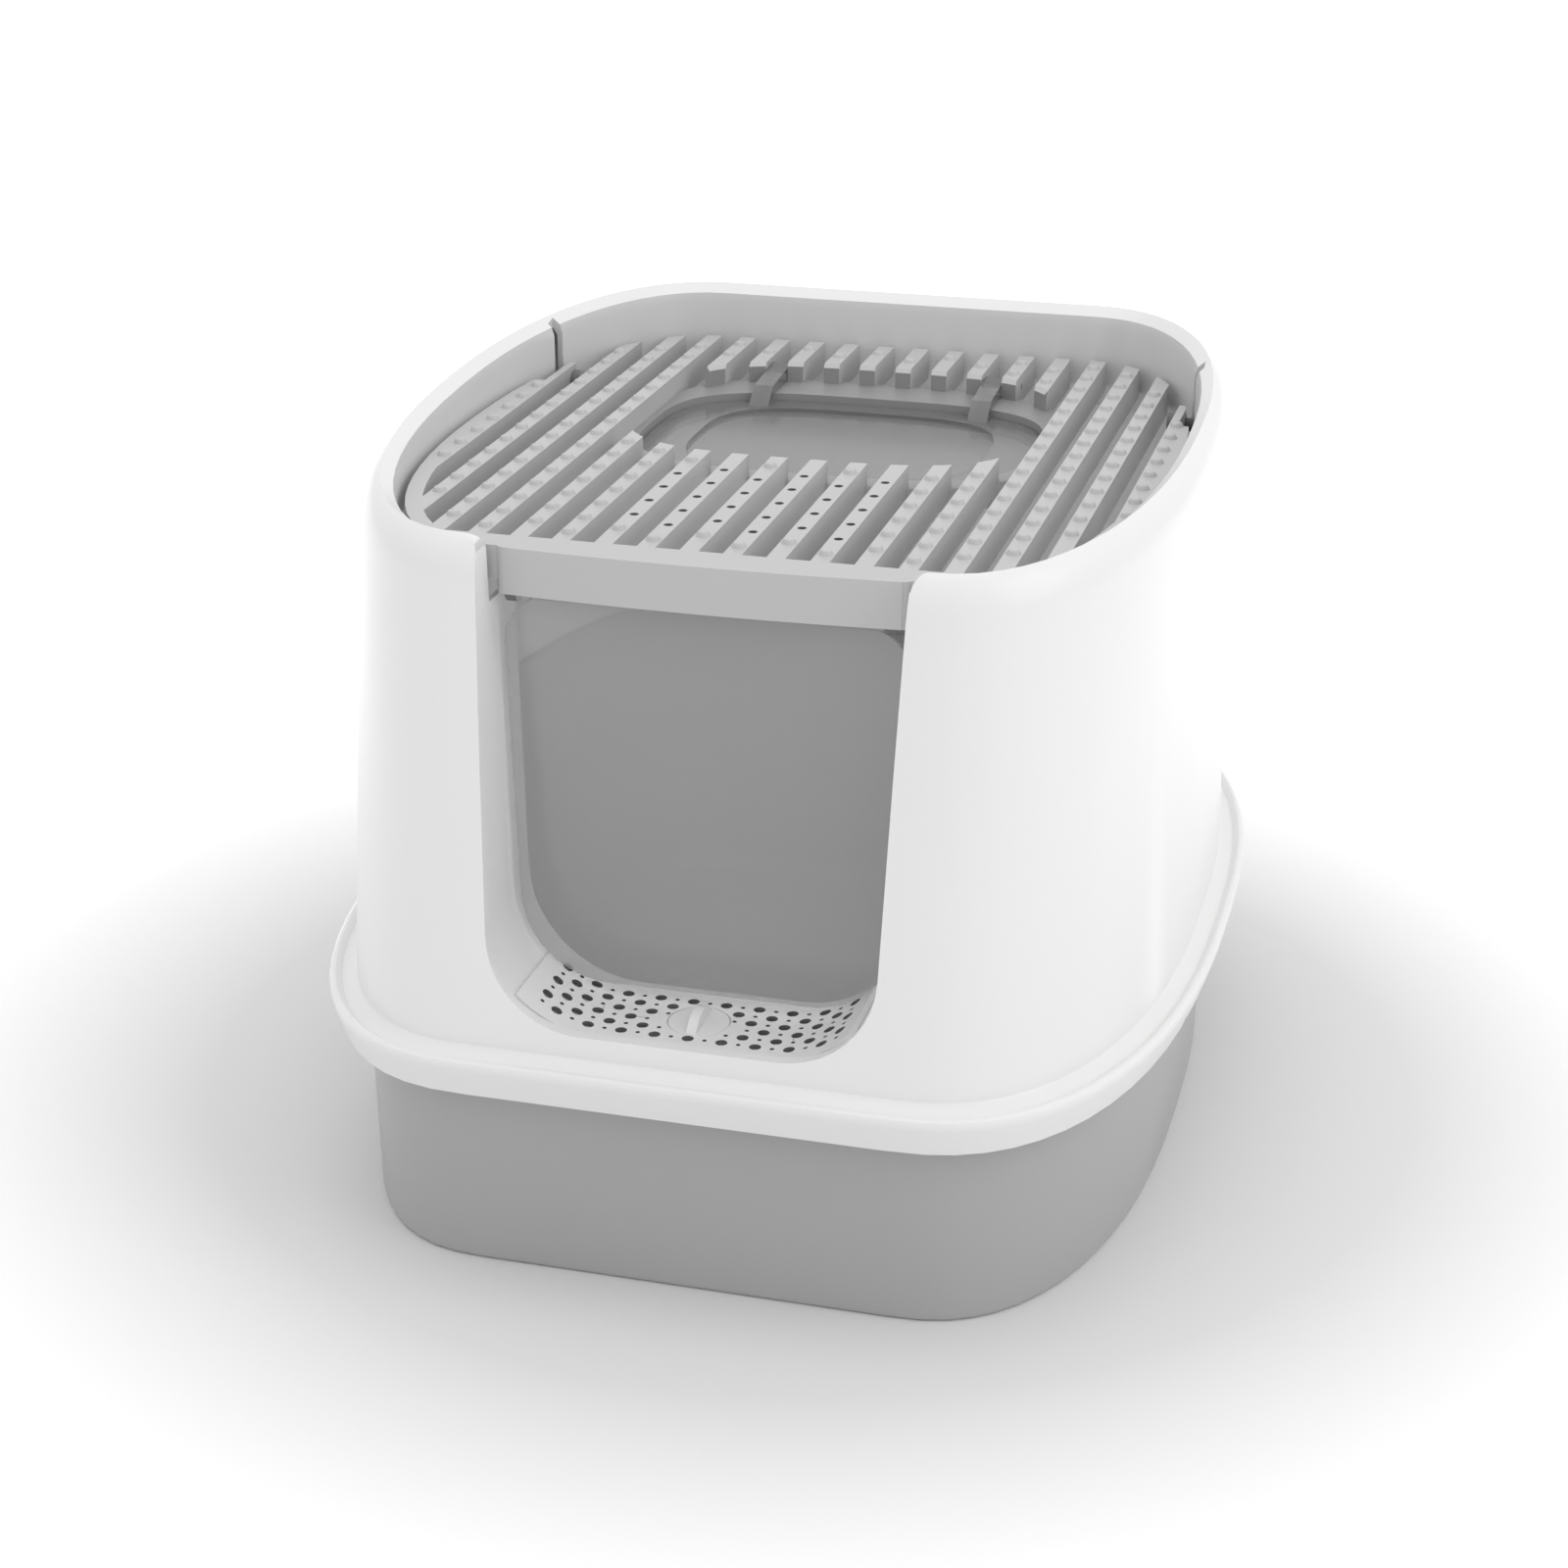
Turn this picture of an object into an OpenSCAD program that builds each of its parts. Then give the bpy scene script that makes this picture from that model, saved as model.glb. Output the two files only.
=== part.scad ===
// Litter box with a front swing door and a slatted top deck.
// A grey tray carries a white hood. The hood holds a deck of bars that lifts out and tilts on side pivots,
// a tinted oval flap in the deck, a smoked swing door under the deck's front, and a perforated step.
// Origin: centre of the tray's underside. X to the right, Y to the back, Z up. Millimetres.

/* [Body plan] */
// Width of the hood wall where it leaves the band
base_w = 387; // [370:1:400]
// Depth of the hood wall where it leaves the band
base_d = 460; // [450:1:480]
// Width of the hood wall at its shoulder
shoulder_w = 378; // [374:1:390]
// Depth of the hood wall at its shoulder
shoulder_d = 414; // [410:1:424]
// How far the corner curve runs along the front of the hood's foot
base_corner_x = 101; // [90:1:110]
// How far the corner curve runs along the front of the hood's shoulder
shoulder_corner_x = 91; // [85:1:100]
// Straight part in the middle of each side
side_straight = 8; // [4:1:20]
// Squareness of the corner curve at the foot, 2 is an ellipse
base_square = 2.45; // [2.2:0.05:2.7]
// Squareness of the corner curve at the shoulder
shoulder_square = 2.2; // [2.1:0.05:2.5]

/* [Tray] */
// Height of the tray
tray_h = 104.3; // [100:0.1:106]
// Thickness of the tray wall
tray_wall = 2.5; // [2:0.1:3]
// Thickness of the tray floor
tray_floor = 3; // [2:0.5:4]
// How far the tray wall stands inside the hood's foot
tray_inset = 4.8; // [4.5:0.1:6]
// How much the tray narrows to its floor on each side
tray_draft = 1.8; // [1:0.2:4]
// Rounding of the tray's bottom edge
tray_edge_r = 4; // [3:0.5:6]
// Width of the tray's rim outside its wall
tray_rim = 8.8; // [7.5:0.1:9]

/* [Scatter guard] */
// Height of the guard's top above the ground
guard_top = 166; // [150:1:190]
// Thickness of the guard
guard_wall = 2.4; // [2:0.1:3]
// How far the guard's top stands inside the hood wall
guard_inset = 5; // [4.5:0.1:9]
// How far the guard's top edge slopes down towards the hood
guard_bevel = 2.5; // [1:0.5:4]
// How deep the guard reaches into the tray
guard_reach = 7; // [5:1:15]

/* [Hood] */
// Thickness of the hood wall
hood_wall = 3; // [2.4:0.1:3.5]
// Height of the wall where its shoulder starts
shoulder_z = 326; // [324:1:330]
// Height of the rim's ridge at mid depth
rim_z = 344.3; // [342:0.5:348]
// How far the ridge stands inside the wall
ridge_in = 10; // [9:0.5:11]
// Width of the rim from the wall to its inner edge
rim_w = 16.8; // [15:0.2:18]
// How far the rim's inner edge lies below its ridge
rim_drop = 7.4; // [6:0.2:8]
// Rise of the rim towards the back, per millimetre of depth
rim_slope = 0.047; // [0.03:0.001:0.055]
// How far the rim bends down towards its front and back ends
rim_bow = 3.2; // [0:0.1:5]
// Height of the lower edge of the rim's inner flange
flange_z = 300; // [296:1:303]

/* [Band] */
// Height of the band, from its lower edge to its rounded top
band_h = 18.4; // [17:0.2:21]
// Depth of the groove below the band's top
groove_depth = 2.2; // [1.6:0.2:4]
// How far the groove's floor rises towards the hood wall
groove_rise = 3.1; // [1:0.1:4]
// How far the band's top stands outside the hood wall
band_out = 12.6; // [11.5:0.1:14]
// How far the band's lower edge stands outside the hood wall
band_foot = 7.6; // [7.4:0.1:9]
// Thickness of the groove's floor at its lowest
groove_floor = 2.6; // [2.4:0.2:4]
// Thickness of the band's lower edge
band_wall = 2.4; // [2:0.1:2.6]
// Length of the catch notch in the band
notch_l = 12; // [8:1:20]
// Height of the catch notch
notch_h = 4; // [3:0.5:6]
// Distance of the catch notch in front of the middle
notch_y = 86; // [60:1:100]

/* [Front opening] */
// Height of the opening's lower lip
lip_z = 121; // [120:0.5:123]
// Width of the opening at its lower corners
open_w = 172; // [170:1:176]
// Width of the opening at the top
open_top_w = 183; // [181:1:186]
// Corner radius of the opening
open_r = 42; // [36:1:46]
// Height of the tunnel's floor
tunnel_z = 115.3; // [114:0.1:116]
// How much wider the tunnel is than the opening on each side
tunnel_side = 3; // [2:0.5:4]
// Thickness of the tunnel wall
tunnel_wall = 2.5; // [2:0.1:3]
// Distance of the tunnel's inner end behind the shoulder's front
tunnel_end = 47; // [40:1:52]
// Corner radius of the tunnel
tunnel_r = 52.7; // [50:0.1:54]
// Thickness of the lip in front of the step
lip_t = 7; // [5:0.5:9]
// Rounding of the rim's two ends beside the opening
rim_end_r = 7; // [3:0.5:8]

/* [Step] */
// Thickness of the step
step_t = 2.4; // [2:0.1:3]
// Length of the step, front to back
step_l = 49; // [46:0.5:60]
// How far round the corner the step reaches, in degrees
step_wrap = 48; // [42:1:60]
// Diameter of the holes in the step
hole_d = 5.2; // [4:0.1:6]
// Distance between the holes across the step
hole_pitch = 15; // [13:0.2:18]
// Diameter of the small holes between them
dot_d = 2; // [1.4:0.2:3]
// Distance between the rows of holes
hole_row = 6.85; // [6.4:0.05:7]
// Number of rows of holes
hole_rows = 6; // [3:1:6]
// Width of the floor left between the two litter slots under the step
slot_gap = 44; // [40:1:50]
// How far from the middle the litter slots reach
slot_reach = 71; // [60:1:72]
// Length of the litter slots, front to back
slot_l = 33; // [26:1:34]
// Distance of the first row behind the step's front edge
hole_margin = 10.1; // [6:0.1:11]

/* [Knob] */
// Diameter of the knob
knob_d = 27; // [24:1:28]
// Thickness of the knob's disc
knob_t = 1.2; // [1:0.1:1.4]
// Distance of the knob behind the front of the hood's foot
knob_y = 35; // [33:0.5:36]
// Length of the knob's arched fin
fin_l = 25; // [20:1:26]
// Thickness of the fin
fin_t = 4.6; // [3:0.2:5]
// Height of the fin above the disc
fin_h = 6; // [4:0.5:6]
// Diameter of the knob's shank
shank_d = 8; // [6:0.5:9]
// Length of the locking cam
cam_l = 26; // [20:1:30]
// Width of the locking cam
cam_w = 9; // [8.5:0.5:11]
// Thickness of the locking cam
cam_t = 2.9; // [2.5:0.1:3.2]
// Diameter of the cam screw
screw_d = 3; // [2.5:0.1:3.5]
// Diameter of the cam screw's head
screw_head_d = 7; // [5:0.5:8]
// Height of the cam screw's head
screw_head_h = 2; // [1.5:0.1:2.5]

/* [Deck] */
// Height of the deck's top
deck_top = 324; // [322:0.5:326]
// Depth of the bars
bar_h = 15; // [14:0.5:15.5]
// Width of a bar
bar_w = 8; // [7:0.5:9]
// Distance between bars
bar_pitch = 18.69; // [18.3:0.01:18.9]
// Number of bars
bar_count = 16; // [14:2:16]
// Gap between the deck and the rim
deck_gap = 3.7; // [3:0.1:5]
// Width of the border round the deck
border_w = 8; // [6:0.5:10]
// Distance of the front ends of the gaps behind the shoulder's front
gap_front = 35; // [32:0.5:37]
// Distance of the fascia's face behind the shoulder's front
fascia_y = 14.7; // [13:0.1:16]
// Width of the fascia
fascia_w = 179; // [172:0.5:180]
// How much the fascia bows forward
fascia_bow = 4; // [2:0.5:5]
// Thickness of the fascia
fascia_t = 2.5; // [2:0.1:3]
// Height of the fascia's lower edge
fascia_z = 303.5; // [303:0.1:305]
// Corner radius of the fascia
fascia_r = 4; // [3:0.5:8]
// Diameter of the holes in the front bars
drain_d = 4; // [3:0.5:5]
// Distance between the holes in the front bars
drain_pitch = 21.35; // [18:0.05:22]
// Number of holes in every second front bar, its neighbours have one fewer
drain_count = 5; // [3:1:5]
// Distance of the first of these holes in front of the oval
drain_margin = 26.9; // [20:0.1:28]
// Number of front bars with holes
drained_bars = 6; // [2:2:8]

/* [Deck pivots] */
// Distance of the side pivots behind the middle
pivot_y = 106; // [102:1:110]
// Height of the side pivots
pivot_z = 316; // [315:0.5:317]
// Diameter of the pivot pins
pivot_d = 6.6; // [5.6:0.2:7.4]
// Diameter of the boss round each pin
pivot_boss_d = 11; // [10:0.5:13]
// Length of the pin inside its boss
pivot_l = 6.5; // [5.5:0.5:8]
// How far the pin stands out into the hood's channel
pivot_reach = 7.5; // [7:0.5:9]
// Distance of the relief beside the pins behind the middle
relief_y = 74; // [70:1:85]

/* [Oval flap] */
// Width of the oval hole in the deck
oval_w = 196; // [188:1:197]
// Distance of the oval's front edge in front of the middle
oval_front = 28; // [26:1:34]
// Distance of the oval's back edge in front of the shoulder's back
oval_back = 64; // [62:0.5:70]
// Squareness of the oval, 2 is an ellipse
oval_square = 3.4; // [2.6:0.1:4]
// Bevel on the front ends of the short bars behind the oval
stub_bevel = 2; // [1:0.5:4]
// Width of the ring at the oval's sides
ring_side = 3; // [2:0.5:6]
// Width of the ring at the oval's back
ring_w = 24; // [18:0.5:26]
// Width of the ring at the oval's front
ring_front = 10; // [8:0.5:14]
// How far the ring reaches under the bars
ring_under = 4; // [3:0.5:5]
// Depth of the ring's top below the deck's top
ring_drop = 10; // [9:0.5:11]
// Thickness of the ring
ring_t = 11; // [10:0.5:12]
// Width of the ledge that carries the flap
ledge_w = 4; // [3:0.5:6]
// Thickness of that ledge
ledge_t = 3; // [2:0.5:3.5]
// Thickness of the flap's rim
flap_t = 4; // [3:0.5:5]
// Distance of the dish from the flap's front and back edge
flap_rim = 12; // [8:0.5:14]
// Distance of the dish from the flap's sides
flap_rim_side = 22; // [12:1:26]
// Depth of the dish in the flap
dish_depth = 2; // [1:0.5:2.5]
// Clearance round the flap
flap_gap = 1.2; // [1:0.1:2]
// Distance of the flap's hinge behind the oval's back edge
flap_hinge_y = 7; // [6:0.5:9]
// Depth of the flap's hinge below the deck's top
flap_hinge_drop = 6.6; // [6:0.2:7]
// Diameter of the flap's hinge pins
flap_pin_d = 3; // [2.5:0.1:3.5]
// Radius of the flap's hinge eyes
flap_eye_r = 4; // [3.5:0.1:4.3]

/* [Swing door] */
// Width of the door at its lower end
door_w = 170; // [164:1:171]
// Width of the door at its top
door_top_w = 177; // [168:1:177]
// Height of the door's lower edge
door_z = 124.5; // [124:0.5:128]
// Thickness of the door
door_t = 3; // [2.5:0.1:3.5]
// Radius of the door's lower corners
door_r = 40; // [38:1:44]
// Radius of the door's upper corners
door_top_r = 20; // [20:1:24]
// Distance of the door behind the shoulder's front
door_y = 26.5; // [26:0.1:27]
// Height of the door's hinge line
hinge_z = 303; // [302.5:0.1:304]
// Diameter of the door's hinge barrel
barrel_d = 7; // [6.5:0.1:7.2]
// Diameter of the door's hinge pins
door_pin_d = 4; // [3:0.1:4.2]
// Length of the pin inside the hinge barrel
door_pin_l = 13.5; // [10:0.5:18]
// Distance of the hangers from the middle
hanger_x = 84; // [83.5:0.1:84.5]
// Width of a hanger
hanger_w = 5; // [4:0.5:5]
// Radius of a hanger's lower end
hanger_r = 4.7; // [4.2:0.1:5]

/* [Clearances] */
// Gap between pieces that rest on each other
seat_gap = 0.3; // [0.2:0.05:0.5]
// Radial gap of a turning fit
turn_gap = 0.07; // [0.05:0.01:0.1]
// Radial gap of a fixed pin in its bore
pin_gap = 0.03; // [0.02:0.01:0.05]
// Gap beside pieces that swing past each other
side_gap = 0.4; // [0.3:0.05:0.6]

/* [Hidden] */
$fn = 48;
corner_steps = 15;
eps = 0.01;

tray_grey = [0.62, 0.63, 0.64];
hood_white = [0.94, 0.94, 0.93];
deck_grey = [0.76, 0.77, 0.78];
smoke_grey = [0.45, 0.46, 0.47];
pin_grey = [0.35, 0.35, 0.36];

// Plan of the body at its foot and at its shoulder:
// [half width, half depth, corner run in x, corner run in y, squareness].
web_z = tray_h + seat_gap;
foot_z = web_z + groove_floor;
band_top = foot_z + groove_depth;
band_z = band_top - band_h;
foot_plan = [base_w / 2, base_d / 2, base_corner_x, (base_d - side_straight) / 2, base_square];
top_plan = [shoulder_w / 2, shoulder_d / 2, shoulder_corner_x, (shoulder_d - side_straight) / 2,
    shoulder_square];

// Places along the depth that follow from the distances above.
shoulder_front = -shoulder_d / 2;
tunnel_back = shoulder_front + tunnel_end;
gaps_front = shoulder_front + gap_front;
fascia_front = shoulder_front + fascia_y;
door_mid = shoulder_front + door_y;
knob_mid = -base_d / 2 + knob_y;
oval_end = shoulder_d / 2 - oval_back;
hinge_mid = oval_end + flap_hinge_y;

function mix(a, b, t) = a + (b - a) * t;
function plan_at(z) = let (t = min(1, max(0, (z - foot_z) / (shoulder_z - foot_z))))
    [for (i = [0:4]) mix(foot_plan[i], top_plan[i], t)];
function grown(plan, d) = [plan[0] + d, plan[1] + d, plan[2] + d, plan[3] + d, plan[4]];
function corner(plan) = [for (i = [0:corner_steps]) let (u = 90 * i / corner_steps)
    [plan[0] - plan[2] + plan[2] * pow(cos(u), 2 / plan[4]),
     plan[1] - plan[3] + plan[3] * pow(sin(u), 2 / plan[4])]];
function flipped(points, sx, sy) = [for (p = points) [p[0] * sx, p[1] * sy]];
function turned_round(points) = [for (i = [len(points) - 1:-1:0]) points[i]];
function outline(plan) = let (q = corner(plan)) concat(q, turned_round(flipped(q, -1, 1)),
    flipped(q, -1, -1), turned_round(flipped(q, 1, -1)));
function arc(c, r, from, to, steps) = [for (i = [0:steps]) let (u = mix(from, to, i / steps))
    [c[0] + r * cos(u), c[1] + r * sin(u)]];
// An oval of a given half width that runs from one depth to another.
function squared_oval(a, from, to) = let (b = (to - from) / 2)
    [for (i = [0:59]) let (u = i * 6) [a * sign(cos(u)) * pow(abs(cos(u)), 2 / oval_square),
        (from + to) / 2 + b * sign(sin(u)) * pow(abs(sin(u)), 2 / oval_square)]];
function oval(d) = squared_oval(oval_w / 2 + d, -oval_front - d, oval_end + d);
// The hole in the ring, and its back edge at a given distance from the middle.
hole_half = oval_w / 2 - ring_side;
hole_front = ring_front - oval_front;
hole_back = oval_end - ring_w;
function ring_hole(d) = squared_oval(hole_half + d, hole_front - d, hole_back + d);
function hole_back_at(x, d) = (hole_back + hole_front) / 2 + ((hole_back - hole_front) / 2 + d)
    * pow(1 - pow(abs(x) / (hole_half + d), oval_square), 1 / oval_square);

// How far the rim stands above its height at mid depth.
rim_half = shoulder_d / 2 - ridge_in;
function rim_rise(y) = rim_slope * y - rim_bow * pow(y / rim_half, 2);

// A wall lofted through rows of [height of its plan, growth, height, share of the rim's rise].
function loft_points(rows) = [for (r = rows) for (p = outline(grown(plan_at(r[0]), r[1])))
    [p[0], p[1], r[2] + r[3] * rim_rise(p[1])]];
loop_n = 4 * (corner_steps + 1);
function loft_faces(count) = [for (r = [0:count - 2]) for (i = [0:loop_n - 1])
    let (a = r * loop_n + i, b = r * loop_n + (i + 1) % loop_n, c = a + loop_n, d = b + loop_n)
    each [[a, c, b], [b, c, d]]];

module ring_loft(rows) {
    closed = concat(rows, [rows[0]]);
    count = len(rows);
    faces = [for (f = loft_faces(count + 1)) [for (v = f) v % (count * loop_n)]];
    polyhedron(loft_points(rows), faces, convexity = 10);
}

module solid_loft(rows) {
    last = (len(rows) - 1) * loop_n;
    polyhedron(loft_points(rows), concat([[for (i = [0:loop_n - 1]) i]], loft_faces(len(rows)),
        [[for (i = [loop_n - 1:-1:0]) last + i]]), convexity = 10);
}

module along_y(from, to) {
    translate([0, to, 0]) rotate([90, 0, 0]) linear_extrude(to - from) children();
}

module along_x(from, to) {
    translate([from, 0, 0]) rotate([90, 0, 90]) linear_extrude(to - from) children();
}

module both_sides() {
    children();
    mirror([1, 0, 0]) children();
}

// A rod along X, centred on [y, z].
module rod(d, from, to, y, z) {
    along_x(from, to) translate([y, z]) circle(d = d);
}

// ---- Tray ----
module tray() {
    out = -tray_inset;
    inside = out - tray_wall;
    color(tray_grey) solid_loft([
        [0, out - tray_draft - tray_edge_r * 0.7, 0, 0],
        [0, out - tray_draft - tray_edge_r * 0.25, tray_edge_r * 0.25, 0],
        [0, out - tray_draft, tray_edge_r, 0],
        [0, out, tray_h - 3, 0],
        [0, out + tray_rim, tray_h - 3, 0],
        [0, out + tray_rim, tray_h - 0.8, 0],
        [0, out + tray_rim - 0.8, tray_h, 0],
        [0, inside, tray_h, 0],
        [0, inside - tray_draft, tray_floor + tray_edge_r, 0],
        [0, inside - tray_draft - tray_edge_r, tray_floor, 0]]);
}

// ---- Scatter guard ----
guard_out = -tray_inset - tray_wall - seat_gap * 2;
guard_foot_h = 2.5;

module scatter_guard() {
    z0 = tray_h + seat_gap;
    color(tray_grey) difference() {
        ring_loft([
            [0, guard_out, tray_h - guard_reach, 0],
            [0, guard_out, z0, 0],
            [0, -tray_inset + 1, z0, 0],
            [0, -tray_inset + 1, z0 + guard_foot_h, 0],
            [0, guard_out - 0.2, z0 + guard_foot_h, 0],
            [guard_top, -guard_inset, guard_top - guard_bevel, 0],
            [guard_top, -guard_inset - guard_wall, guard_top, 0],
            [0, guard_out - guard_wall, z0, 0],
            [0, guard_out - guard_wall, tray_h - guard_reach, 0]]);
        along_y(-base_d, tunnel_back + 30) polygon(opening_points(open_w / 2 + tunnel_side + tunnel_wall + 3,
            open_top_w / 2 + tunnel_side + tunnel_wall + 3, z0 + guard_foot_h + 1, open_r));
    }
}

// ---- Hood ----
// The opening's shape: a flat bottom, round corners and sides that lean outwards to above the rim.
open_top_z = rim_z + 60;
function opening_points(half, top_half, bottom, r) = let (
        lean = atan2(top_half - half, deck_top - bottom - r),
        c = [half - r, bottom + r],
        reach = top_half + (open_top_z - deck_top) * tan(lean),
        right = concat(arc(c, r, -90, -lean, 10), [[reach, open_top_z]]))
    concat(right, turned_round(flipped(right, -1, 1)));
function tunnel_points(d) = opening_points(open_w / 2 + tunnel_side + d, open_top_w / 2 + d + 0.5,
    tunnel_z - d, tunnel_r + d);

ridge_plan_z = shoulder_z;

module hood_shell() {
    z = rim_z;
    edge = z - rim_drop;
    ring_loft([
        [0, band_foot, band_z, 0],
        [0, band_out - 0.5, band_top - 5.5, 0],
        [0, band_out, band_top - 2.6, 0],
        [0, band_out - 0.5, band_top - 1, 0],
        [0, band_out - 1.7, band_top - 0.1, 0],
        [0, band_out - 2.9, band_top, 0],
        [0, band_out - 4.2, band_top - 0.8, 0],
        [0, band_out - 5.8, foot_z, 0],
        [0, 1, foot_z + groove_rise - 0.2, 0],
        [foot_z, 0, foot_z + groove_rise + 1, 0],
        [mix(foot_z, shoulder_z, 0.66), 0, mix(foot_z, shoulder_z, 0.66), 0],
        [ridge_plan_z, 0, shoulder_z, 1],
        [ridge_plan_z, -ridge_in * 0.12, mix(shoulder_z, z, 0.34), 1],
        [ridge_plan_z, -ridge_in * 0.36, mix(shoulder_z, z, 0.64), 1],
        [ridge_plan_z, -ridge_in * 0.68, mix(shoulder_z, z, 0.88), 1],
        [ridge_plan_z, -ridge_in, z, 1],
        [ridge_plan_z, -mix(ridge_in, rim_w, 0.8), mix(z, edge, 0.62), 1],
        [ridge_plan_z, -rim_w, edge - 1.5, 1],
        [ridge_plan_z, -rim_w, flange_z, 0],
        [ridge_plan_z, -rim_w + 2.6, flange_z, 0],
        [ridge_plan_z, -rim_w + 2.8, edge - 3, 1],
        [ridge_plan_z, -ridge_in, z - 3.6, 1],
        [ridge_plan_z, -mix(hood_wall, ridge_in, 0.5), mix(shoulder_z, z, 0.6), 1],
        [ridge_plan_z, -hood_wall, shoulder_z - 2, 1],
        [mix(foot_z, shoulder_z, 0.66), -hood_wall, mix(foot_z, shoulder_z, 0.66), 0],
        [foot_z, -hood_wall, foot_z + 1.5, 0],
        [0, -hood_wall, web_z, 0],
        [0, band_out - band_wall - 1, web_z, 0],
        [0, band_foot - band_wall, band_z, 0]]);
}

// What closes the rim's hollow beside the opening.
module rim_fill() {
    inner = -rim_w + 1;
    ring_loft([
        [flange_z, -1, flange_z - 5, 0],
        [ridge_plan_z, -1, shoulder_z - 1, 1],
        [ridge_plan_z, -ridge_in * 0.68, mix(shoulder_z, rim_z, 0.8), 1],
        [ridge_plan_z, -ridge_in, rim_z - 2, 1],
        [ridge_plan_z, inner, rim_z - rim_drop - 2.5, 1],
        [ridge_plan_z, inner, flange_z - 5, 0]]);
}

// Rounds the rim's end beside the opening.
module rim_end_cut() {
    x = open_top_w / 2 + 0.5 + rim_end_r;
    z = rim_z + rim_rise(-rim_half) - rim_end_r;
    along_y(shoulder_front - rim_end_r, tunnel_back) difference() {
        translate([x - 2 * rim_end_r, z]) square([2 * rim_end_r, 2 * rim_end_r]);
        translate([x, z]) circle(rim_end_r);
    }
}

module hood() {
    lip_back = -base_d / 2 + lip_t;
    step_high = step_bend[1] - step_r * cos(step_wrap);
    wall_lean = atan((base_d - shoulder_d) / 2 / (shoulder_z - foot_z));
    color(hood_white) difference() {
        union() {
            hood_shell();
            // The tunnel round the opening, closed against the wall.
            intersection() {
                along_y(-base_d, tunnel_back) polygon(tunnel_points(tunnel_wall));
                union() {
                    solid_loft([[foot_z, -1, web_z + 1, 0], [flange_z, -1, flange_z, 0]]);
                    rim_fill();
                }
            }
            // Ledges that carry the front of the deck.
            both_sides() translate([open_top_w / 2 + 4, shoulder_front + rim_w - 4, flange_z])
                cube([22, 14, deck_top - bar_h - seat_gap - flange_z]);
        }
        along_y(-base_d, tunnel_back) polygon(opening_points(open_w / 2, open_top_w / 2, lip_z, open_r));
        // The wider tunnel starts behind the lip and leans back with the wall above the step.
        intersection() {
            along_y(lip_back - eps, tunnel_back + 20) polygon(tunnel_points(0));
            translate([-base_w, lip_back - eps, step_high]) rotate([-wall_lean, 0, 0])
                translate([0, 0, -base_w]) cube([2 * base_w, base_w, 2 * base_w]);
        }
        both_sides() rim_end_cut();
        // Keyhole that the cam passes when the knob is turned a quarter.
        translate([0, knob_mid, tunnel_z - tunnel_wall - 1]) rotate([0, 0, 90])
            linear_extrude(tunnel_wall + 2) cam_shape(side_gap);
        // Slots that let litter fall through the step into the tray.
        both_sides() translate([slot_gap / 2, knob_mid - slot_l / 2, tunnel_z - tunnel_wall - 2])
            cube([slot_reach - slot_gap / 2, slot_l, open_r / 2]);
        // Channels for the deck's side pivots, open at the top.
        both_sides() pivot_channel();
        // Catch notches in the band's lower edge.
        both_sides() translate([base_w / 2, -notch_y - notch_l / 2, band_z - 1])
            cube([base_w / 8, notch_l, notch_h + 1]);
    }
}

// ---- Side pivots ----
deck_plan = grown(top_plan, -rim_w - deck_gap);
// Half width of a plan at a given depth.
function half_width(plan, y) = let (t = max(0, abs(y) - plan[1] + plan[3]) / plan[3])
    plan[0] - plan[2] + plan[2] * pow(1 - pow(t, plan[4]), 1 / plan[4]);
pivot_x = half_width(deck_plan, pivot_y);

module pivot_channel() {
    r = pivot_d / 2 + seat_gap;
    along_x(pivot_x - 2, pivot_x + pivot_reach + seat_gap) {
        translate([pivot_y, pivot_z]) circle(r);
        translate([pivot_y - r, pivot_z]) square([2 * r, 60]);
    }
}

module pivot_pins() {
    color(pin_grey) both_sides()
        rod(pivot_d, pivot_x - pivot_l, pivot_x + pivot_reach, pivot_y, pivot_z);
}

// ---- Step ----
step_front = -base_d / 2 + lip_t + 1;
step_top = tunnel_z + seat_gap + step_t;

step_bend = [open_w / 2 + tunnel_side - tunnel_r, tunnel_z + tunnel_r];
step_r = tunnel_r - seat_gap;

module step_section() {
    outer = arc(step_bend, step_r, -90, -90 + step_wrap, 8);
    inner = arc(step_bend, step_r - step_t, -90 + step_wrap, -90, 8);
    half = concat(outer, inner);
    polygon(concat(half, turned_round(flipped(half, -1, 1))));
}

// A hole through the step at a distance along its section, square to its face.
module step_hole(d, along, y) {
    turn = max(0, abs(along) - step_bend[0]) / (step_r - step_t) * 180 / PI;
    side = sign(along) * min(abs(along), step_bend[0]);
    translate([side, y, step_bend[1]]) rotate([0, -sign(along) * turn, 0])
        translate([0, 0, -step_r - 1]) cylinder(d = d, h = step_t + 2);
}

module step() {
    reach = step_bend[0] + step_wrap * PI / 180 * step_r - hole_d;
    columns = floor(reach / hole_pitch * 2);
    color(hood_white) difference() {
        along_y(step_front, step_front + step_l) step_section();
        for (row = [0:hole_rows - 1]) for (i = [-columns:columns]) {
            y = step_front + hole_margin + row * hole_row;
            d = (i + row) % 2 == 0 ? hole_d : dot_d;
            if (norm([i * hole_pitch / 2, y - knob_mid]) > knob_d / 2 + d * 0.6)
                step_hole(d, i * hole_pitch / 2, y);
        }
        translate([0, knob_mid, step_top - knob_t]) cylinder(d = knob_d + 2 * side_gap, h = 5);
        translate([0, knob_mid, tunnel_z - 1]) cylinder(r = shank_d / 2 + turn_gap, h = 9);
    }
}

// ---- Quarter-turn knob ----
floor_bottom = tunnel_z - tunnel_wall;
cam_top = floor_bottom - seat_gap;

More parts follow.
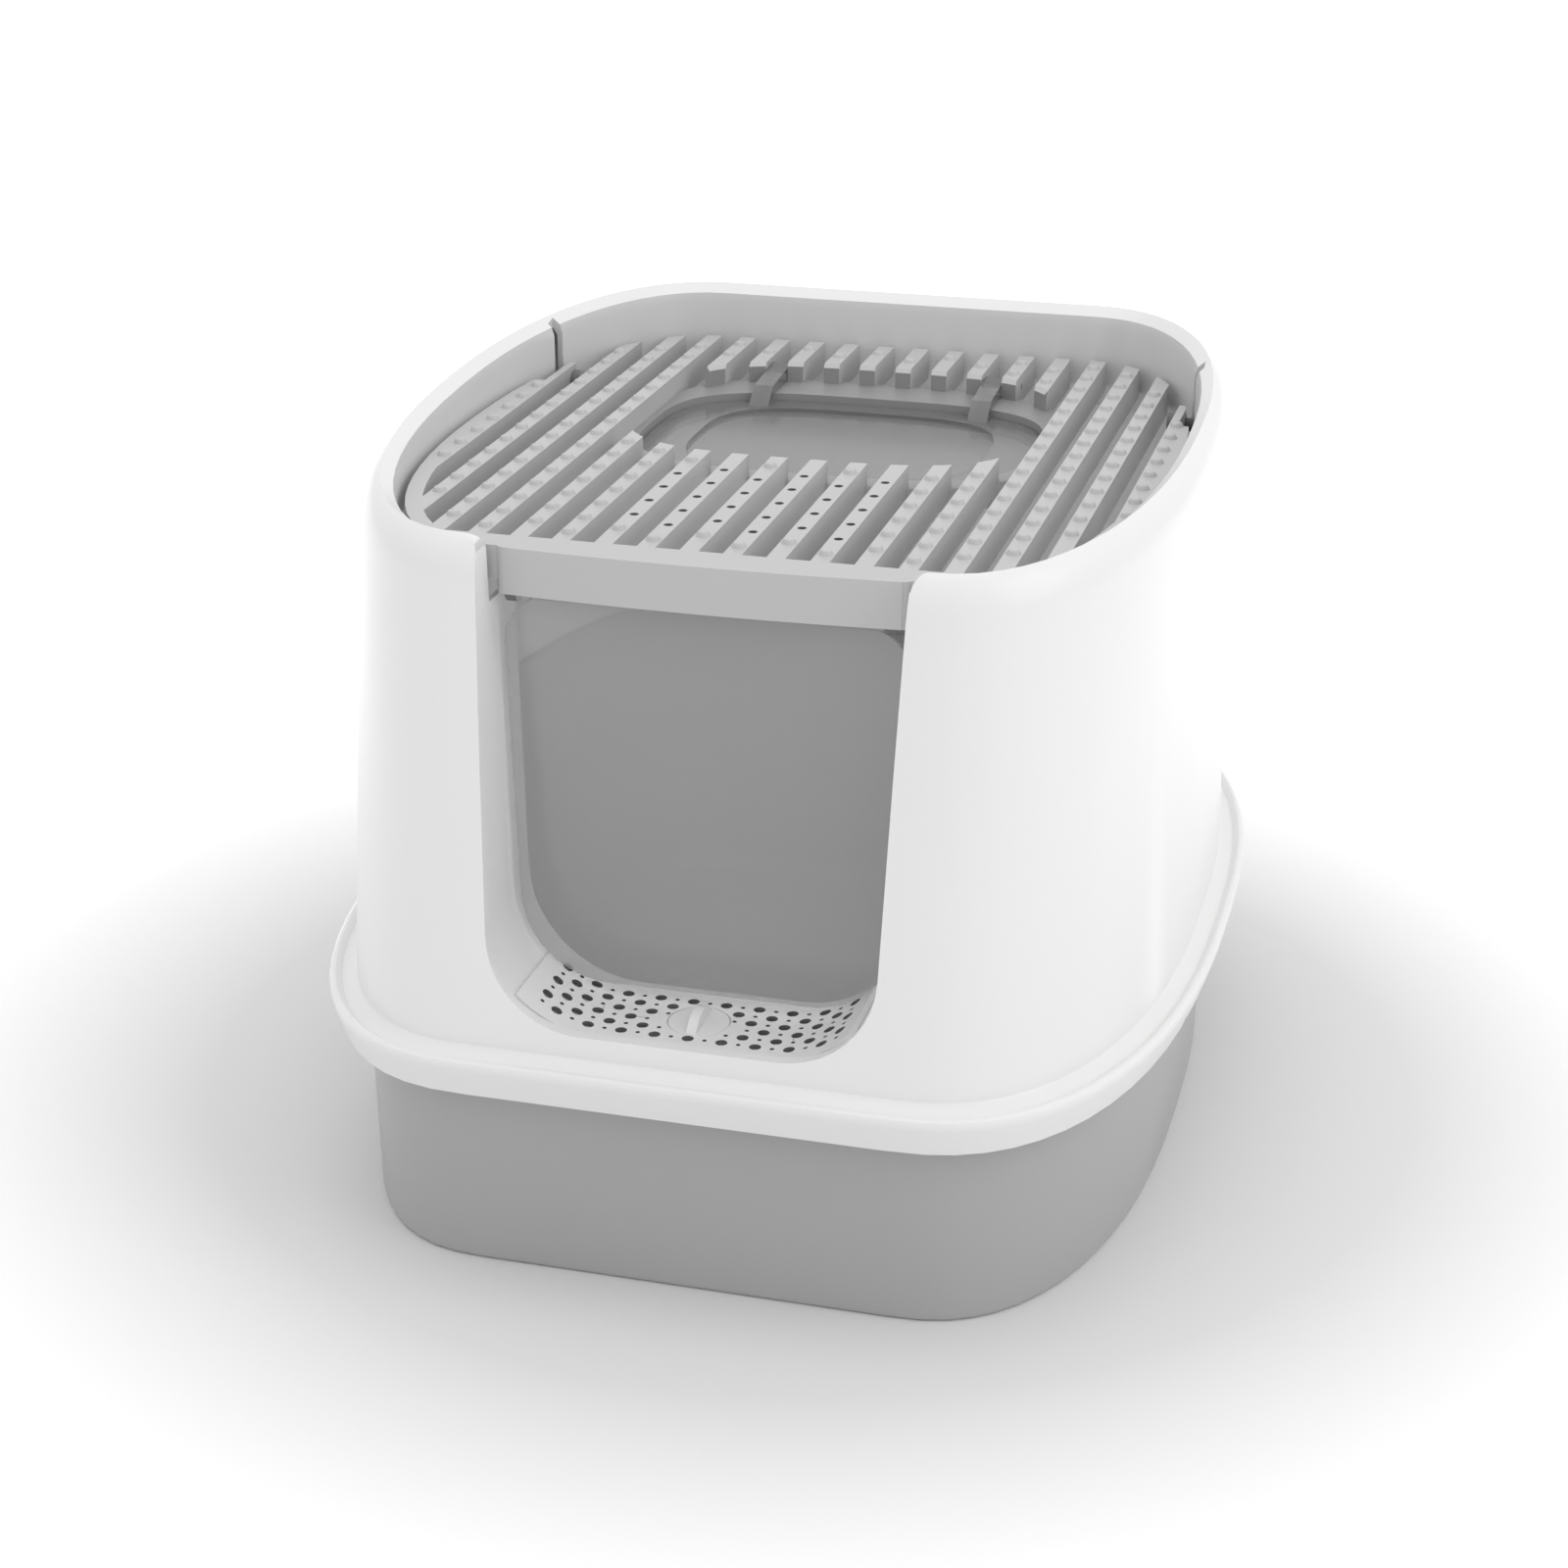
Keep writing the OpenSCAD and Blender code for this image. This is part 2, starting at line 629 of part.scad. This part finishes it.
module step_knob() {
    fin_r = (fin_l * fin_l / 4 + fin_h * fin_h) / (2 * fin_h);
    color(hood_white) translate([0, knob_mid, 0]) difference() {
        union() {
            translate([0, 0, step_top - knob_t + 0.05]) cylinder(d = knob_d, h = knob_t - 0.05);
            translate([0, 0, cam_top + 0.05]) cylinder(d = shank_d, h = step_top - cam_top - 0.1);
            // Arched fin.
            intersection() {
                along_x(-fin_t / 2, fin_t / 2) translate([0, step_top + fin_h - fin_r]) circle(fin_r);
                translate([-fin_t, -fin_l, step_top - 0.2]) cube([2 * fin_t, 2 * fin_l, fin_h + 1]);
            }
        }
        translate([0, 0, cam_top - 1]) cylinder(d = screw_d + 0.1, h = 6);
    }
}

module cam_shape(gap) {
    square([cam_w + 2 * gap, cam_l - cam_w], center = true);
    for (s = [-1, 1]) translate([0, s * (cam_l - cam_w) / 2]) circle(d = cam_w + 2 * gap);
}

module knob_cam() {
    color(pin_grey) translate([0, knob_mid, cam_top - cam_t]) difference() {
        linear_extrude(cam_t) cam_shape(0);
        translate([0, 0, -1]) cylinder(d = screw_d + 0.1, h = cam_t + 2);
    }
}

module cam_screw() {
    color("silver") translate([0, knob_mid, cam_top - cam_t]) {
        translate([0, 0, -screw_head_h - 0.05]) cylinder(d = screw_head_d, h = screw_head_h);
        translate([0, 0, -1]) cylinder(d = screw_d, h = cam_t + 5.8);
    }
}

// ---- Deck ----
deck_z = deck_top - bar_h;
deck_back = pivot_y + pivot_d / 2 + 1.5;
flap_hinge_z = deck_top - flap_hinge_drop;
bow_r = (fascia_w * fascia_w / 4 + fascia_bow * fascia_bow) / (2 * fascia_bow);
function bar_x(i) = (i - (bar_count - 1) / 2) * bar_pitch;
// The flap's arms stand in the third gap on either side of the middle.
hinge_x = 3 * bar_pitch;
// The flap's pins run from inside one bar to the far side of the next.
flap_pin_from = hinge_x - bar_pitch / 2 - bar_w / 4;
flap_pin_to = hinge_x + bar_pitch / 2 + bar_w / 2;

module fascia_face(inset) {
    half = fascia_w / 2 - inset;
    r = fascia_r - inset;
    intersection() {
        translate([0, fascia_front + bow_r]) circle(bow_r - inset, $fn = 360);
        union() {
            translate([-half, fascia_front + fascia_bow + fascia_r]) square([2 * half, 20 - fascia_r]);
            translate([-half + r, fascia_front]) square([2 * half - 2 * r, 20]);
            for (s = [-1, 1]) translate([s * (half - r), fascia_front + fascia_bow + fascia_r]) circle(r);
        }
    }
}

module deck_plan_area() {
    difference() {
        union() {
            intersection() {
                polygon(outline(deck_plan));
                union() {
                    for (i = [0:bar_count - 1]) translate([bar_x(i) - bar_w / 2, gaps_front - 1])
                        square([bar_w, 2 * base_d]);
                    difference() {
                        translate([-base_w, -base_d]) square([2 * base_w, base_d + deck_back]);
                        intersection() {
                            union() {
                                polygon(outline(grown(deck_plan, -border_w)));
                                translate([-base_w, 0]) square([2 * base_w, base_d]);
                            }
                            translate([-bar_x(bar_count) + bar_w / 2, gaps_front])
                                square([2 * bar_x(bar_count) - bar_w, 2 * base_d]);
                        }
                    }
                }
            }
            intersection() {
                fascia_face(0);
                translate([-base_w / 2, -base_d]) square([base_w, base_d + gaps_front]);
            }
        }
        polygon(oval(0));
        // Relief that shows the side pivots.
        both_sides() translate([pivot_x, relief_y]) square([base_w, base_d]);
    }
}

// Bevels the front ends of the short bars behind the oval.
module stub_cut() {
    a = oval_w / 2;
    b = (oval_end + oval_front) / 2;
    intersection() {
        translate([0, (oval_end - oval_front) / 2, deck_top - stub_bevel])
            linear_extrude(stub_bevel, scale = [1 + stub_bevel / a, 1 + stub_bevel / b])
                polygon(squared_oval(a, -b, b));
        translate([-a + 1, oval_end / 2, deck_z]) cube([2 * a - 2, oval_end, bar_h + 1]);
    }
}

module deck() {
    color(deck_grey) difference() {
        union() {
            translate([0, 0, deck_z]) linear_extrude(bar_h) deck_plan_area();
            // Fascia below the border.
            translate([0, 0, fascia_z]) linear_extrude(deck_z - fascia_z + 1) intersection() {
                difference() {
                    fascia_face(0);
                    fascia_face(fascia_t);
                }
                translate([-base_w / 2, -base_d]) square([base_w, base_d + gaps_front - 6]);
            }
            // Ring that carries the flap and the short bars behind it.
            translate([0, 0, deck_top - ring_drop - ring_t]) {
                linear_extrude(ring_t) difference() {
                    polygon(oval(ring_under));
                    polygon(ring_hole(0));
                }
                linear_extrude(ledge_t) difference() {
                    polygon(ring_hole(1));
                    polygon(ring_hole(-ledge_w));
                }
            }
            // Bosses for the side pivots and hangers for the door.
            both_sides() {
                rod(pivot_boss_d, pivot_x - pivot_l - 2, pivot_x, pivot_y, pivot_z);
                along_x(hanger_x - hanger_w / 2, hanger_x + hanger_w / 2) {
                    translate([door_mid, hinge_z]) circle(hanger_r);
                    translate([door_mid - hanger_r, hinge_z])
                        square([2 * hanger_r, deck_z - hinge_z + 1]);
                }
            }
        }
        both_sides() {
            rod(pivot_d + 2 * pin_gap, pivot_x - pivot_l, pivot_x + 1, pivot_y, pivot_z);
            rod(door_pin_d + 2 * pin_gap, hanger_x - hanger_w, hanger_x + hanger_w, door_mid, hinge_z);
            rod(flap_pin_d + 2 * pin_gap, flap_pin_from, flap_pin_to + bar_w, hinge_mid, flap_hinge_z);
        }
        stub_cut();
        for (i = [0:drained_bars - 1]) for (j = [0:drain_count - 2 + i % 2])
            translate([(i - (drained_bars - 1) / 2) * bar_pitch, -oval_front - drain_margin
                - (j + (1 - i % 2) / 2) * drain_pitch, deck_z - 1]) cylinder(d = drain_d, h = bar_h + 2);
    }
}

// ---- Oval flap ----
flap_z = deck_top - ring_drop - ring_t + ledge_t + seat_gap;

module flap_arm() {
    w = bar_pitch - bar_w - 2 * side_gap;
    ring_z = deck_top - ring_drop + side_gap;
    edge = hole_back_at(hinge_x + w / 2, -flap_gap);
    along_x(hinge_x - w / 2, hinge_x + w / 2) {
        translate([hinge_mid, flap_hinge_z]) circle(flap_eye_r);
        polygon([[edge - 9, flap_z + 1], [edge, flap_z + 1], [edge, ring_z],
            [hinge_mid, ring_z], [hinge_mid, flap_hinge_z + flap_eye_r],
            [edge + 1, ring_z + 4], [edge - 9, flap_z + flap_t]]);
    }
}

module oval_flap() {
    color(smoke_grey) difference() {
        union() {
            translate([0, 0, flap_z]) linear_extrude(flap_t) polygon(ring_hole(-flap_gap));
            both_sides() flap_arm();
        }
        translate([0, 0, flap_z + flap_t - dish_depth]) linear_extrude(dish_depth + eps)
            polygon(squared_oval(hole_half - flap_gap - flap_rim_side, hole_front + flap_gap + flap_rim,
                hole_back - flap_gap - flap_rim));
        both_sides() rod(flap_pin_d + 2 * turn_gap, hinge_x - bar_pitch, hinge_x + bar_pitch,
            hinge_mid, flap_hinge_z);
    }
}

module flap_pins() {
    color(pin_grey) both_sides() rod(flap_pin_d, flap_pin_from, flap_pin_to, hinge_mid, flap_hinge_z);
}

// ---- Swing door ----
barrel_end = hanger_x - hanger_w / 2 - side_gap;

module door_section() {
    top = hinge_z - 2;
    low = [door_w / 2 - door_r, door_z + door_r];
    high = [door_top_w / 2 - door_top_r, top - door_top_r];
    lean = atan2((door_top_w - door_w) / 2, high[1] - low[1]);
    right = concat(arc(low, door_r, -90, -lean, 12), arc(high, door_top_r, -lean, 90, 6));
    polygon(concat(right, turned_round(flipped(right, -1, 1))));
}

module swing_door() {
    color(smoke_grey) difference() {
        union() {
            along_y(door_mid - door_t / 2, door_mid + door_t / 2) door_section();
            rod(barrel_d, -barrel_end + 4, barrel_end - 4, door_mid, hinge_z);
        }
        both_sides() rod(door_pin_d + 2 * turn_gap, barrel_end - door_pin_l - seat_gap, barrel_end + 1,
            door_mid, hinge_z);
    }
}

module door_pins() {
    color(pin_grey) both_sides()
        rod(door_pin_d, barrel_end - door_pin_l, hanger_x + hanger_w / 2, door_mid, hinge_z);
}

tray();
scatter_guard();
hood();
step();
step_knob();
knob_cam();
cam_screw();
pivot_pins();
deck();
oval_flap();
flap_pins();
swing_door();
door_pins();
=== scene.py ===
# Litter box with a swing door, a slatted top and an oval flap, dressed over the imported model.
import math

import bmesh
import bpy
from mathutils import Matrix, Vector


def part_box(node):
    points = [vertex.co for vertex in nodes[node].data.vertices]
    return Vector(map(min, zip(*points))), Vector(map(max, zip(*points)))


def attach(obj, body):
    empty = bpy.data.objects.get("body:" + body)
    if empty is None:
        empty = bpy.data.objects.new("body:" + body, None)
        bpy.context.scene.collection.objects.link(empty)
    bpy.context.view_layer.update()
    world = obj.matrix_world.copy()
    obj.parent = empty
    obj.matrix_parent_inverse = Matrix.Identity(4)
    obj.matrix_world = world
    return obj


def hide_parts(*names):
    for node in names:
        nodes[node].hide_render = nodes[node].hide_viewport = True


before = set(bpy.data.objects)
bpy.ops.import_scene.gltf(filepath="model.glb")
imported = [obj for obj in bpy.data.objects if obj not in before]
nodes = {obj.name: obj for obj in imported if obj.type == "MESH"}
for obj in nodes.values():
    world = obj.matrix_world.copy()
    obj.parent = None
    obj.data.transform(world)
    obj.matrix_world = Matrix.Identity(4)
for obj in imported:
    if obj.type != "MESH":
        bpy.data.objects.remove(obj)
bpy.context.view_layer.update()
mm = 0.001
print("frame loaded")


def newMaterial(name):
    material = bpy.data.materials.new(name)
    material.use_nodes = True
    return material, material.node_tree.nodes, material.node_tree.links


def addNode(made, kind, **settings):
    node = made.new(kind)
    for name, value in settings.items():
        node.inputs[name].default_value = value
    return node


plasticLooks = {  # tone, gloss, texture height, tone drift, see-through share, coat
    "hoodWhite": {"colour": (0.87, 0.87, 0.868), "rough": 0.36, "grain": 0.05, "cloud": 0.012,
                  "alpha": 1, "coat": 0.25},
    # painted shade: the hood's white, made darker, for the inward rim wall
    "rimInsidePaintedShade": {"colour": (0.66, 0.66, 0.658), "rough": 0.4, "grain": 0.05, "cloud": 0.012,
                  "alpha": 1, "coat": 0.2},
    "trayGrey": {"colour": (0.42, 0.42, 0.42), "rough": 0.42, "grain": 0.07, "cloud": 0.02,
                 "alpha": 1, "coat": 0.3},
    "deckGrey": {"colour": (0.54, 0.54, 0.54), "rough": 0.42, "grain": 0.06, "cloud": 0.02,
                 "alpha": 1, "coat": 0.15},
    # painted shade: the deck grey, made darker, for the ring round the hatch
    "ringPaintedShade": {"colour": (0.30, 0.30, 0.30), "rough": 0.4, "grain": 0.05, "cloud": 0.02,
                 "alpha": 1, "coat": 0.15},
    # painted shade: near black for the walls of the small holes in the step and deck
    "borePaintedShade": {"colour": (0.17, 0.17, 0.17), "rough": 0.6, "grain": 0.05, "cloud": 0.03,
                  "alpha": 1, "coat": 0},
    "smokedDoor": {"colour": (0.48, 0.48, 0.483), "rough": 0.16, "grain": 0.01, "cloud": 0.015,
                   "alpha": 0.44, "coat": 0.3},
    "smokedFlap": {"colour": (0.24, 0.24, 0.242), "rough": 0.14, "grain": 0.01, "cloud": 0.015,
                   "alpha": 0.62, "coat": 0.3},
    "pegDark": {"colour": (0.10, 0.10, 0.10), "rough": 0.5, "grain": 0.05, "cloud": 0.04,
                "alpha": 1, "coat": 0},
    "screwZinc": {"colour": (0.55, 0.55, 0.56), "rough": 0.3, "grain": 0.04, "cloud": 0.05,
                  "alpha": 1, "coat": 0},
}
texture = {  # noise scales and details, texture depth, gloss drift, and what all the plastics share
    "cloudScale": 9, "cloudDetail": 3, "fineScale": 1400, "fineDetail": 2, "depth": 0.4 * mm,
    "glossDrift": 0.05, "ior": 1.46, "coatRough": 0.12,
}


def drift(made, links, source, low, high):
    # turns a noise into a value that drifts between low and high
    spread = made.new("ShaderNodeMapRange")
    spread.inputs["To Min"].default_value = low
    spread.inputs["To Max"].default_value = high
    links.new(source.outputs["Fac"], spread.inputs["Value"])
    return spread.outputs["Result"]


def plastic(name):
    # moulded plastic: a tone that drifts slightly, fine spark texture, gloss that follows the texture
    look = plasticLooks[name]
    material, made, links = newMaterial(name)
    shader = made["Principled BSDF"]
    place = made.new("ShaderNodeTexCoord")
    clouds = addNode(made, "ShaderNodeTexNoise", Scale=texture["cloudScale"], Detail=texture["cloudDetail"])
    links.new(place.outputs["Object"], clouds.inputs["Vector"])
    tint = made.new("ShaderNodeVectorMath")
    tint.operation = "SCALE"
    tint.inputs[0].default_value = look["colour"]
    links.new(drift(made, links, clouds, 1 - look["cloud"], 1 + look["cloud"]), tint.inputs["Scale"])
    links.new(tint.outputs["Vector"], shader.inputs["Base Color"])
    fine = addNode(made, "ShaderNodeTexNoise", Scale=texture["fineScale"], Detail=texture["fineDetail"])
    links.new(place.outputs["Object"], fine.inputs["Vector"])
    bump = addNode(made, "ShaderNodeBump", Strength=look["grain"], Distance=texture["depth"])
    links.new(fine.outputs["Fac"], bump.inputs["Height"])
    links.new(bump.outputs["Normal"], shader.inputs["Normal"])
    rough = (look["rough"] - texture["glossDrift"], look["rough"] + texture["glossDrift"])
    links.new(drift(made, links, fine, *rough), shader.inputs["Roughness"])
    shader.inputs["IOR"].default_value = texture["ior"]
    shader.inputs["Alpha"].default_value = look["alpha"]
    shader.inputs["Coat Weight"].default_value = look["coat"]
    shader.inputs["Coat Roughness"].default_value = texture["coatRough"]
    return material


finishes = {name: plastic(name) for name in plasticLooks}
finishes["screwZinc"].node_tree.nodes["Principled BSDF"].inputs["Metallic"].default_value = 1
print("materials made")


def newPiece(name, shape, body, finish):
    mesh = bpy.data.meshes.new(name)
    shape.to_mesh(mesh)
    shape.free()
    piece = bpy.data.objects.new(name, mesh)
    bpy.context.scene.collection.objects.link(piece)
    mesh.materials.append(finishes[finish])
    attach(piece, body)
    return piece


def shadeByAngle(shape, degrees):
    for face in shape.faces:
        face.smooth = True
    for edge in shape.edges:
        edge.smooth = edge.calc_face_angle(math.pi) < math.radians(degrees)


copying = {  # weld distance, angles in degrees up to which faces join, shade smooth and keep their edge
    "weld": 0.002 * mm, "joined": 0.4, "smooth": 30, "kept": 38, "segments": 2,
}


def easeEdges(piece, width):
    bevel = piece.modifiers.new("easedEdges", "BEVEL")
    bevel.width = width
    bevel.segments = copying["segments"]
    bevel.limit_method = "ANGLE"
    bevel.angle_limit = math.radians(copying["kept"])
    bevel.harden_normals = True


def softCopy(node, body, slot, finish, ease):
    shape = bmesh.new()
    shape.from_mesh(nodes[node].data)
    bmesh.ops.remove_doubles(shape, verts=shape.verts, dist=copying["weld"])
    bmesh.ops.dissolve_limit(shape, angle_limit=math.radians(copying["joined"]),
                             verts=shape.verts, edges=shape.edges)
    shadeByAngle(shape, copying["smooth"])
    piece = newPiece(node + "Skin", shape, body, finish)
    easeEdges(piece, ease)
    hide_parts(node)
    return piece


modelPieces = {  # body, material slot, finish and eased edge of each piece that keeps the model's shape
    "tray": ("base", "tray_plastic", "trayGrey", 0.5 * mm),
    "scatter_guard": ("base", "tray_plastic", "trayGrey", 0.3 * mm),
    "hood": ("hood", "hood_plastic", "hoodWhite", 0.6 * mm),
    "step": ("hood", "hood_plastic", "hoodWhite", 0.2 * mm),
    "step_knob": ("knob", "hood_plastic", "hoodWhite", 0.4 * mm),
    "deck": ("deck", "deck_plastic", "deckGrey", 0.5 * mm),
    "oval_flap": ("flap", "smoked_plastic", "smokedFlap", 0.5 * mm),
    "swing_door": ("door", "smoked_plastic", "smokedDoor", 0.5 * mm),
}
smallParts = {"knob_cam": "pegDark", "pivot_pins": "pegDark", "flap_pins": "pegDark", "door_pins": "pegDark",
              "cam_screw": "screwZinc"}

skins = {node: softCopy(node, *settings) for node, settings in modelPieces.items()}
for node, finish in smallParts.items():
    nodes[node].data.materials.clear()
    nodes[node].data.materials.append(finishes[finish])
print("model pieces dressed")


def paintFaces(node, finish, chosen):
    mesh = skins[node].data
    mesh.materials.append(finishes[finish])
    for face in mesh.polygons:
        if chosen(face):
            face.material_index = len(mesh.materials) - 1


# the walls of the small holes, painted dark as shade: their largest face in square metres, and its most
# corners
bores = {"step": 1.2 * mm * mm, "deck": 5 * mm * mm, "corners": 5}


def shadeBores():
    for node in ("step", "deck"):
        paintFaces(node, "borePaintedShade",
                   lambda face: face.area < bores[node] and len(face.vertices) <= bores["corners"])


innerRim = {"above": 309 * mm, "flattest": 0.55}  # the hood's rim wall that looks in over the deck, where the white is painted darker as shade


def looksInward(face):
    inward = -(face.normal.x * face.center.x + face.normal.y * face.center.y) > 0
    return inward and face.center.z > innerRim["above"] and abs(face.normal.z) < innerRim["flattest"]


hatch = {  # the oval hatch in the deck, and the margins round it for the ring's painted shade and for the nubs
    "half": 98 * mm, "front": -28 * mm, "back": 143 * mm, "square": 3.4,
    "ringMargin": 0.5 * mm, "ringBelow": 322 * mm, "nubMargin": 10 * mm,
}


def inHatch(x, y, margin):
    if abs(x) >= hatch["half"]:
        return False
    middle = (hatch["front"] + hatch["back"]) / 2
    across = (1 - (abs(x) / hatch["half"]) ** hatch["square"]) ** (1 / hatch["square"])
    return abs(y - middle) < (hatch["back"] - hatch["front"]) / 2 * across + margin


def onRing(face):
    return inHatch(face.center.x, face.center.y, hatch["ringMargin"]) and face.center.z < hatch["ringBelow"]


shadeBores()
# painted shade: the inward face of the hood's rim is the same white plastic, painted darker to stand for
# shade
paintFaces("hood", "rimInsidePaintedShade", looksInward)
paintFaces("deck", "ringPaintedShade", onRing)  # painted shade: the ring is the deck's grey plastic, painted darker than the bars
print("faces toned")

grip = {  # the round nubs on the bars and on the two side rails
    "barPitch": 18.69 * mm, "rows": 18, "pitch": 21.35 * mm, "starts": (-44.05 * mm, -54.9 * mm),
    "reach": ((-77, 74), (-120, 138), (-152, 160), (-163, 171)),  # from the rails inwards, in mm
    "drained": (6, 11), "holes": (-145 * mm, -50 * mm),  # rows and depths that have drain holes
    "foot": 3.3 * mm, "crown": 2.4 * mm, "height": 2.0 * mm, "sunk": 0.1 * mm,
    "edge": 0.6 * mm, "edgeSegments": 2, "sides": 12, "smooth": 40, "slack": 0.05 * mm,
}


def nubPlaces():
    places = []
    lastRow = grip["rows"] - 1
    for row in range(grip["rows"]):
        x = (row - lastRow / 2) * grip["barPitch"]
        fromRail = min(row, lastRow - row, len(grip["reach"]) - 1)
        low, high = (end * mm for end in grip["reach"][fromRail])
        start = grip["starts"][row % 2]
        y = start + math.ceil((low - start) / grip["pitch"]) * grip["pitch"]
        while y <= high:
            drained = grip["drained"][0] <= row <= grip["drained"][1]
            onHole = drained and grip["holes"][0] < y < grip["holes"][1]
            if not onHole and not inHatch(x, y, hatch["nubMargin"]):
                places.append((x, y))
            y += grip["pitch"]
    return places


def makeNubs():
    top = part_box("deck")[1][2]
    shape = bmesh.new()
    for x, y in nubPlaces():
        z = top + (grip["height"] - grip["sunk"]) / 2
        bmesh.ops.create_cone(shape, cap_ends=True, cap_tris=False, segments=grip["sides"],
                              radius1=grip["foot"], radius2=grip["crown"],
                              depth=grip["height"] + grip["sunk"], matrix=Matrix.Translation((x, y, z)))
    crown = top + grip["height"] - grip["slack"]
    rims = [edge for edge in shape.edges if all(vert.co.z > crown for vert in edge.verts)]
    bmesh.ops.bevel(shape, geom=rims, offset=grip["edge"], offset_type="OFFSET",
                    segments=grip["edgeSegments"], profile=0.5, affect="EDGES", material=-1)
    shadeByAngle(shape, grip["smooth"])
    newPiece("gripNubs", shape, "deck", "deckGrey")


makeNubs()
print("nubs made")

studio = {
    "floorSize": 12, "floorTone": 0.82, "floorRough": 0.9,
    "fadeFrom": 0.30, "fadeTo": 0.85, "floorLift": 1.0,  # where the floor turns to plain white, in metres
    "worldStrength": 0.82,
    "lamps": {"rightLamp": ((1.9, -0.5, 1.5), 1.8, 9), "topLamp": ((-0.3, 0.2, 2.4), 2.2, 7)},
    "lampAim": (0, 0, 0.15),
    "cabinPlace": (0.03, -0.02, 0.22), "cabinPower": 0.35, "cabinSize": 0.06,
}
white = (1, 1, 1, 1)


def larger(made, links, first, second):
    node = made.new("ShaderNodeMath")
    node.operation = "MAXIMUM"
    links.new(first, node.inputs[0])
    links.new(second, node.inputs[1])
    return node.outputs["Value"]


def seenDirectly(made, links):
    # 1 for rays that come from the camera or from a mirror-like or clear surface
    rays = made.new("ShaderNodeLightPath").outputs
    either = larger(made, links, rays["Is Camera Ray"], rays["Is Glossy Ray"])
    return larger(made, links, either, rays["Is Transmission Ray"])


def floorMaterial():
    material, made, links = newMaterial("paleFloor")
    shader = made["Principled BSDF"]
    tone = studio["floorTone"]
    shader.inputs["Base Color"].default_value = (tone, tone, tone, 1)
    shader.inputs["Roughness"].default_value = studio["floorRough"]
    shader.inputs["Specular IOR Level"].default_value = 0
    shader.inputs["Emission Color"].default_value = white
    place = made.new("ShaderNodeTexCoord")
    away = made.new("ShaderNodeVectorMath")
    away.operation = "LENGTH"
    links.new(place.outputs["Object"], away.inputs[0])
    fade = made.new("ShaderNodeMapRange")
    fade.inputs["From Min"].default_value = studio["fadeFrom"]
    fade.inputs["From Max"].default_value = studio["fadeTo"]
    fade.inputs["To Max"].default_value = studio["floorLift"]
    links.new(away.outputs["Value"], fade.inputs["Value"])
    lift = made.new("ShaderNodeMath")
    lift.operation = "MULTIPLY"
    links.new(fade.outputs["Result"], lift.inputs[0])
    links.new(seenDirectly(made, links), lift.inputs[1])
    links.new(lift.outputs["Value"], shader.inputs["Emission Strength"])
    return material


def makeFloor():
    shape = bmesh.new()
    bmesh.ops.create_grid(shape, x_segments=1, y_segments=1, size=studio["floorSize"])
    mesh = bpy.data.meshes.new("studioFloor")
    shape.to_mesh(mesh)
    shape.free()
    floor = bpy.data.objects.new("studioFloor", mesh)
    bpy.context.scene.collection.objects.link(floor)
    mesh.materials.append(floorMaterial())


def makeWorld():
    world = bpy.data.worlds.new("studio")
    bpy.context.scene.world = world
    world.use_nodes = True
    made, links = world.node_tree.nodes, world.node_tree.links
    backdrop = made["Background"]
    backdrop.inputs["Color"].default_value = white
    backdrop.inputs["Strength"].default_value = studio["worldStrength"]
    plain = addNode(made, "ShaderNodeBackground", Color=white, Strength=1)
    mix = made.new("ShaderNodeMixShader")
    links.new(seenDirectly(made, links), mix.inputs["Fac"])
    links.new(backdrop.outputs["Background"], mix.inputs[1])
    links.new(plain.outputs["Background"], mix.inputs[2])
    links.new(mix.outputs["Shader"], made["World Output"].inputs["Surface"])


def newLamp(name, kind, place, power):
    data = bpy.data.lights.new(name, kind)
    data.energy = power
    lamp = bpy.data.objects.new(name, data)
    bpy.context.scene.collection.objects.link(lamp)
    lamp.location = place
    return lamp


def areaLamp(name, place, size, power):
    lamp = newLamp(name, "AREA", place, power)
    lamp.data.shape = "DISK"
    lamp.data.size = size
    lamp.rotation_mode = "QUATERNION"
    lamp.rotation_quaternion = (Vector(studio["lampAim"]) - Vector(place)).to_track_quat("-Z", "Y")


def cabinGlow():
    # stands for the light that the thin white hood lets through into the cabin
    lamp = newLamp("cabinGlow", "POINT", studio["cabinPlace"], studio["cabinPower"])
    lamp.data.shadow_soft_size = studio["cabinSize"]
    lamp.visible_camera = False
    lamp.visible_glossy = False
    lamp.visible_transmission = False


photoView = {  # metres, degrees, millimetres
    "place": (0.3327, -1.2930, 0.7030), "turn": (67.56, -0.13, 15.08), "lens": 67.9, "sensor": 36,
}


def makeCamera():
    data = bpy.data.cameras.new("photoCamera")
    data.sensor_width = photoView["sensor"]
    data.lens = photoView["lens"]
    camera = bpy.data.objects.new("photoCamera", data)
    bpy.context.scene.collection.objects.link(camera)
    camera.location = photoView["place"]
    camera.rotation_euler = [math.radians(angle) for angle in photoView["turn"]]
    bpy.context.scene.camera = camera


makeFloor()
makeWorld()
for name, settings in studio["lamps"].items():
    areaLamp(name, *settings)
cabinGlow()
makeCamera()
bpy.context.scene.view_settings.view_transform = "Standard"
print("stage set")
